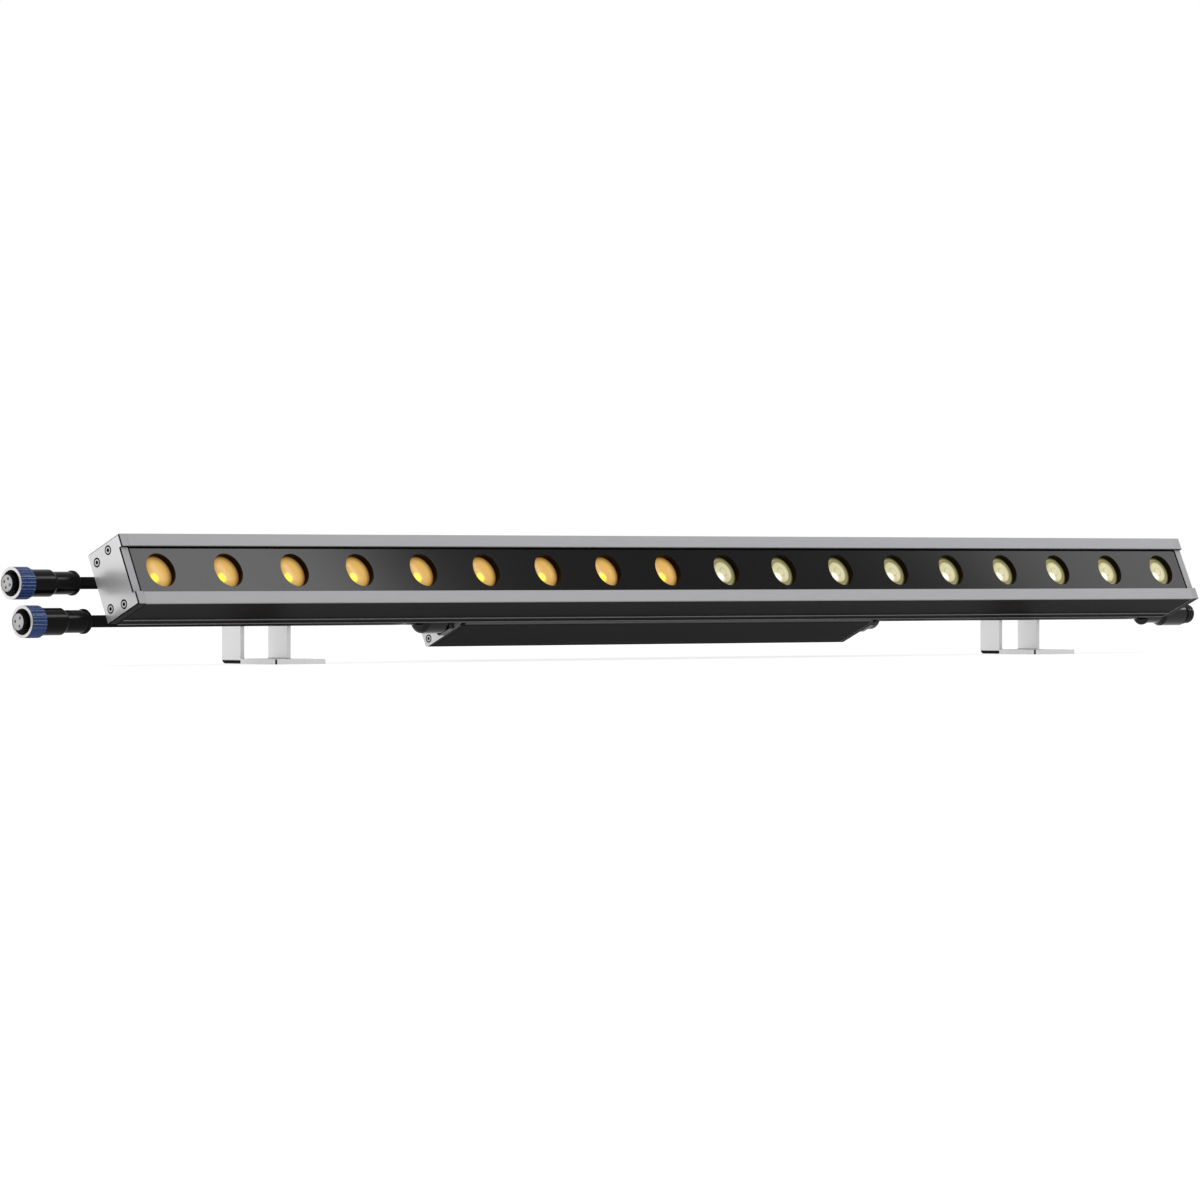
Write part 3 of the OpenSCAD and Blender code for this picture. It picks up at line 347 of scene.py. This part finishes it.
def faced_metal(name, face, front, slant_shade, roughness, under_shade=None, stretch=(40, 40, 1), cloud=0.08, satin=0.4):
    """Metal with tones set by face direction, for faces across X, front edges, other edges and bevels; dark tones
    on edges and bevels are painted shade and painted dark reflection.

    Tones up to the satin one are a matt finish, and lighter ones are bare metal."""
    material, n = new_material(name)
    side = n.math("ABSOLUTE", toward(n, (1, 0, 0)))
    # Edges that face down and bevels take their own dark tones: painted shade on those edges, painted dark
    # reflection on the bevels
    edges = blend(n, n.math("GREATER_THAN", toward(n, BEAM), FRONT_FROM), (*(under_shade or front), 1), (*front, 1))
    across = blend(n, n.math("GREATER_THAN", side, FACE_FROM), (*slant_shade, 1), (*face, 1))
    tone = blend(n, n.math("GREATER_THAN", side, BEVEL_FROM), edges, across)
    grain = stretched_noise(n, stretch, GRAIN_SCALE)
    factor = n.add("MapRange", {"Value": plain_noise(n, CLOUD_SCALE, 1.0), "From Min": NOISE_LOW,
                                "From Max": NOISE_HIGH, "To Min": 1 - cloud, "To Max": 1 + cloud}).outputs[0]
    rough = uneven_rough(n, grain, roughness, 0.15)
    metallic = n.math("MULTIPLY", n.math("GREATER_THAN", tone, satin), BARE_METAL)
    shader = n.add("BsdfPrincipled", {"Base Color": tinted(n, tone, factor), "Roughness": rough,
                                      "Metallic": metallic, "Specular IOR Level": 0.01})
    finish_material(n, shader, (grain, 0.06, BRUSHING), CRISP_EDGE)
    return material


def moulded(name, colour, roughness, specular=0.5, grain=0.12, bevel=SOFT_EDGE):
    """Moulded plastic or rubber: a fine grain and a slight change of tone."""
    material, n = new_material(name)
    fine = plain_noise(n, MOULD_SCALE)
    tone = uneven_tone(n, plain_noise(n, TONE_SCALE), colour, 0.12)
    rough = uneven_rough(n, fine, roughness, 0.2)
    shader = n.add("BsdfPrincipled", {"Base Color": tone, "Roughness": rough, "Specular IOR Level": specular})
    finish_material(n, shader, (fine, grain, FINE_GRAIN) if grain else None, bevel)
    return material


def black_anodised(name):
    """Dark anodised extrusion, with painted light: lighter where it looks straight to the front."""
    material, n = new_material(name)
    tone = blend(n, facing(n, 0.3, 0.95), (0.0165, 0.015, 0.0145, 1), (0.3, 0.3, 0.3, 1))
    fine = plain_noise(n, ANODISED_SCALE)
    shader = n.add("BsdfPrincipled", {"Base Color": tone, "Roughness": spread(n, fine, 0.3, 0.4),
                                      "Specular IOR Level": 0.005})
    finish_material(n, shader, (fine, 0.05, FINE_GRAIN), SOFT_EDGE)
    return material


def cover_black(name):
    """Glossy black cover with a slightly uneven polish, and a brown tinge inside its openings."""
    material, n = new_material(name)
    tone = blend(n, facing(n, 0.4, 0.8), (0.012, 0.006, 0.003, 1), (0.002, 0.002, 0.002, 1))
    rough = spread(n, stretched_noise(n, (1, 6, 6), 5), 0.095, 0.105)
    shader = n.add("BsdfPrincipled", {"Base Color": tone, "Roughness": rough, "Specular IOR Level": 0.06})
    finish_material(n, shader, None, CRISP_EDGE)
    return material


def insert_plastic(name):
    """Grey contact insert, black round the rim of its face and on its sides."""
    material, n = new_material(name)
    place = n.add("TexCoord").outputs["Object"]
    flat = n.add("VectorMath", {0: place, 1: (0, 1, 1)}, operation="MULTIPLY").outputs[0]
    high, low = [n.add("VectorMath", {0: flat, 1: (0, *head(0, *run).yz)}, operation="DISTANCE").outputs["Value"]
                 for run in (HIGH_RUN, LOW_RUN)]
    centimetres = n.math("MULTIPLY", n.math("MINIMUM", high, low), CM_PER_M)
    face_end = INSERT_FACE_R / MM_PER_CM
    tone = n.ramp(centimetres, [(0.0, grey(0.5)), (face_end - RIM_BLUR_CM, grey(0.46)), (face_end, grey(0.004)),
                                (1.0, grey(0.004))])
    shader = n.add("BsdfPrincipled", {"Base Color": tone, "Roughness": 0.4, "Specular IOR Level": 0.1})
    finish_material(n, shader, (plain_noise(n, MOULD_SCALE), 0.03, FINE_GRAIN), CRISP_EDGE)
    return material


def lens_material(name, rings, highlight_colour, glow):
    """A lens: rings of colour from its centre to its rim, and a glowing painted highlight for the bright image of
    the LED.
    """
    material, n = new_material(name)
    uv = n.add("UVMap").outputs[0]
    radius = n.add("VectorMath", {0: uv}, operation="LENGTH").outputs["Value"]
    shifted = n.add("VectorMath", {0: uv, 1: LED_HIGHLIGHT_PLACE}, operation="DISTANCE").outputs["Value"]
    tone = n.ramp(radius, rings)
    near = n.ramp(shifted, LED_HIGHLIGHT_FALLOFF)
    mixed = blend(n, near, tone, (*highlight_colour, 1))
    strength = spread(n, near, *glow)
    shader = n.add("BsdfPrincipled", {"Base Color": mixed, "Roughness": 0.12, "Emission Color": mixed,
                                      "Emission Strength": strength, "Specular IOR Level": 0.05})
    finish_material(n, shader)
    return material


PLAIN = (1, 1, 1)
# Near-black tone painted on edges and bevels: painted shade and painted dark reflection
SHADED_EDGE = grey(0.012)
AMBER = (0.80, 0.48, 0.13)
CREAM = (0.70, 0.65, 0.39)
OLIVE = (0.26, 0.23, 0.07)
AMBER_RINGS = [(0.0, AMBER), (0.7, AMBER), (0.9, scaled(AMBER, 0.85)), (1.0, (0.35, 0.13, 0.02))]
WHITE_RINGS = [(0.0, CREAM), (0.2, CREAM), (0.27, scaled(CREAM, 0.72)), (0.34, CREAM), (0.6, CREAM), (0.74, OLIVE),
               (0.84, scaled(CREAM, 0.75)), (0.93, OLIVE), (1.0, scaled(OLIVE, 0.5))]
MATERIALS = {
    "black_anodised": black_anodised("black_anodised"),
    "silver_anodised": brushed_metal("silver_anodised", (0.36, 0.361, 0.373), 0.5, metallic=0.0),
    # End plates: bevels and down-facing edges near black, painted dark reflection and painted shade; front edges
    # keep a grey of their own
    "light_metal": faced_metal("light_metal", grey(0.72, 1.01), grey(0.36, 1.03), SHADED_EDGE, 0.3, under_shade=SHADED_EDGE),
    "cover_black": cover_black("cover_black"),
    "seal_rubber": moulded("seal_rubber", grey(0.008), 0.6, specular=0.02),
    "cable_jacket": moulded("cable_jacket", grey(0.003), 0.25, specular=0.06, grain=0.04),
    "black_plastic": moulded("black_plastic", grey(0.003), 0.2, specular=0.06, grain=0.0),
    "grey_plastic": moulded("grey_plastic", grey(0.5), 0.4, grain=0.03),
    "blue_plastic": moulded("blue_plastic", (0.004, 0.03, 0.135), 0.2, specular=0.2, grain=0.02,
                            bevel=SHARP_EDGE),
    # Its dark edges and bevels are painted shade
    "pale_metal": faced_metal("pale_metal", grey(0.72), grey(0.1), grey(0.05), 0.3, stretch=PLAIN),
    "contact_brass": brushed_metal("contact_brass", (0.7, 0.5, 0.2), 0.3, stretch=PLAIN),
    "screw_steel": brushed_metal("screw_steel", grey(0.42), 0.32, stretch=PLAIN),
    "board_white": moulded("board_white", grey(0.75), 0.5),
    "board_green": moulded("board_green", (0.02, 0.15, 0.05), 0.4),
    "led_yellow": moulded("led_yellow", (0.8, 0.6, 0.1), 0.2),
    "pad_grey": moulded("pad_grey", (0.3, 0.35, 0.4), 0.7),
    "component_dark": moulded("component_dark", (0.05, 0.055, 0.06), 0.4),
    "lens_amber": lens_material("lens_amber", AMBER_RINGS, (1.0, 0.9, 0.06), (0.05, 0.5)),
    "lens_white": lens_material("lens_white", WHITE_RINGS, (1.0, 0.98, 0.82), (0.05, 0.4)),
}
# Brackets with near-black bends and bevels: painted dark reflection
BRACKET_METAL = faced_metal("bracket_metal", grey(0.78), grey(0.66), grey(0.02), 0.32, cloud=0.04, satin=0.1)
# Driver end plates with near-black edges and bevels: painted shade
DRIVER_PLATE = faced_metal("driver_plate", grey(0.66), SHADED_EDGE, SHADED_EDGE, 0.32)
# Screw heads with near-black sides and socket walls: painted shade round the head and in the socket
END_SCREW = faced_metal("end_screw", grey(0.6), SHADED_EDGE, SHADED_EDGE, 0.3, stretch=PLAIN)
GLOSS_BLACK = moulded("gloss_black", grey(0.003), 0.12, specular=0.22, grain=0.0)
INSERT = insert_plastic("insert_plastic")
# Female contacts painted near black: painted shade for their place deep in the insert's holes
SHADED_BRASS = brushed_metal("shaded_brass", (0.012, 0.009, 0.005), 0.4, stretch=PLAIN)
OWN_LOOKS = {"bracket_left": BRACKET_METAL, "bracket_right": BRACKET_METAL,
             "driver_end_plate_left": DRIVER_PLATE, "driver_end_plate_right": DRIVER_PLATE,
             "end_screws_left": END_SCREW, "end_screws_right": END_SCREW, "driver_end_screws": END_SCREW,
             "gland_nuts": GLOSS_BLACK, "gland_bodies": GLOSS_BLACK, "male_shells": GLOSS_BLACK,
             "female_inserts": INSERT, "female_contacts": SHADED_BRASS}


def dress_frame():
    slots = {row["node"]: row["material_slot"] for row in record["subparts"]}
    for name, obj in frame["nodes"].items():
        material = OWN_LOOKS.get(name, MATERIALS[slots[name]])
        if not obj.material_slots:
            obj.data.materials.append(material)
        for slot in obj.material_slots:
            slot.material = material


dress_frame()


# Pieces


def make_object(name, bm, material, body):
    """A smooth-shaded piece that rides a body."""
    mesh = bpy.data.meshes.new(name)
    bm.normal_update()
    bm.to_mesh(mesh)
    bm.free()
    for face in mesh.polygons:
        face.use_smooth = True
    mesh.materials.append(material)
    obj = bpy.data.objects.new(name, mesh)
    bpy.context.scene.collection.objects.link(obj)
    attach(obj, body)
    return obj


BEND_STEPS = 10
TUBE_SIDES = 28
LENS_SIDES = 48


def bend_angle(offset):
    return math.acos(1 - offset / (2 * BEND_R))


def bend_run(offset):
    return 2 * BEND_R * math.sin(bend_angle(offset))


def s_bend(x, start, offset, side):
    """Stations (x, sideways) of an S bend that moves over by side * offset."""
    a = bend_angle(offset)
    out = []
    for i in range(BEND_STEPS + 1):
        b = a * i / BEND_STEPS
        out.append((x + BEND_R * math.sin(b), start + side * BEND_R * (1 - math.cos(b))))
    for i in range(1, BEND_STEPS + 1):
        b = a * (1 - i / BEND_STEPS)
        sideways = start + side * (offset - BEND_R * (1 - math.cos(b)))
        out.append((x + bend_run(offset) - BEND_R * math.sin(b), sideways))
    return out


def cable_stations(gland, first_bend, run, end, second):
    """The cable's centre line as (x, depth, height), in mm."""
    step = (run[0] - gland[0], run[1] - gland[1])
    offset = math.hypot(*step)
    flat = [(CABLE_START, 0.0)] + s_bend(first_bend, 0.0, offset, 1)
    last = offset
    if second:
        flat += s_bend(MALE_START - bend_run(SECOND_OFFSET) - BEND_GAP, offset, SECOND_OFFSET, -1)
        last = offset - SECOND_OFFSET
    flat.append((end, last))
    return [(x, gland[0] + s * step[0] / offset, gland[1] + s * step[1] / offset) for x, s in flat]


def tube(points, radius):
    """A closed round tube along the points."""
    sides = TUBE_SIDES
    bm = bmesh.new()
    rings = []
    for i, point in enumerate(points):
        before = points[max(0, i - 1)]
        after = points[min(len(points) - 1, i + 1)]
        along = (after - before).normalized()
        across = along.cross(BAR_UP).normalized()
        up = across.cross(along)
        rings.append([bm.verts.new(point + radius * (math.cos(t) * across + math.sin(t) * up))
                      for t in (2 * math.pi * k / sides for k in range(sides))])
    for a, b in zip(rings, rings[1:]):
        for k in range(sides):
            bm.faces.new((a[k], a[(k + 1) % sides], b[(k + 1) % sides], b[k]))
    bm.faces.new(list(reversed(rings[0])))
    bm.faces.new(rings[-1])
    bmesh.ops.recalc_face_normals(bm, faces=bm.faces)
    return bm


def add_cable(node, stations, side):
    points = [head(side * x, depth, height) for x, depth, height in stations]
    obj = make_object(node + "_jacket", tube(points, CABLE_D / 2 * MM), MATERIALS["cable_jacket"], "head")
    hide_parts(node)


add_cable("cable_power_in", cable_stations(HIGH_GLAND, FIRST_BEND_IN, HIGH_RUN, FEMALE_CABLE_END, False), -1)
add_cable("cable_data_in", cable_stations(LOW_GLAND, FIRST_BEND_IN, LOW_RUN, FEMALE_CABLE_END, False), -1)
add_cable("cable_power_out", cable_stations(HIGH_GLAND, FIRST_BEND_OUT, HIGH_RUN, MALE_CABLE_END, True), 1)
add_cable("cable_data_out", cable_stations(LOW_GLAND, FIRST_BEND_OUT, LOW_RUN, MALE_CABLE_END, True), 1)

# Lens outline as (radius, depth behind the lens plane), in mm, from the centre of the face to the back
LENS_FACE = [(0, -0.9), (2, -0.88), (5, -0.78), (8, -0.55), (9.5, -0.25), (11, 0)]
LENS_BACK = [(13, 0), (13, 2), (10, 2), (5, 10.4), (3.2, 10.4), (3.2, 6.2), (0, 6.2)]
LENS_FACE_R = 11.0


def add_lenses(node, indices, material):
    """The lenses of one colour as one piece. Its UV map gives each point of a face in lens radii."""
    sides = LENS_SIDES
    bm = bmesh.new()
    uv = bm.loops.layers.uv.new("lens")
    pitch = (BAR_L - 2 * LED_MARGIN) / (LED_COUNT - 1)
    for i in indices:
        x = -BAR_L / 2 + LED_MARGIN + i * pitch
        rings = []
        for r, depth in LENS_FACE + LENS_BACK:
            ring = []
            for k in range(sides if r else 1):
                t = 2 * math.pi * k / sides
                vert = bm.verts.new(head(x + r * math.cos(t), LENS_DEPTH + depth, BAR_H / 2 + r * math.sin(t)))
                ring.append((vert, (r * math.cos(t) / LENS_FACE_R, r * math.sin(t) / LENS_FACE_R)))
            rings.append(ring)
        for a, b in zip(rings, rings[1:]):
            for k in range(sides):
                corners = [a[k % len(a)], b[k % len(b)], b[(k + 1) % len(b)], a[(k + 1) % len(a)]]
                unique = list(dict.fromkeys(corners))
                face = bm.faces.new([vert for vert, _ in unique])
                for loop, (_, place) in zip(face.loops, unique):
                    loop[uv].uv = place
    bmesh.ops.recalc_face_normals(bm, faces=bm.faces)
    obj = make_object(node + "_optics", bm, material, "head")
    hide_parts(node)


add_lenses("lenses_amber", range(LED_COUNT // 2), MATERIALS["lens_amber"])
add_lenses("lenses_white", range(LED_COUNT // 2, LED_COUNT), MATERIALS["lens_white"])

bpy.context.view_layer.update()
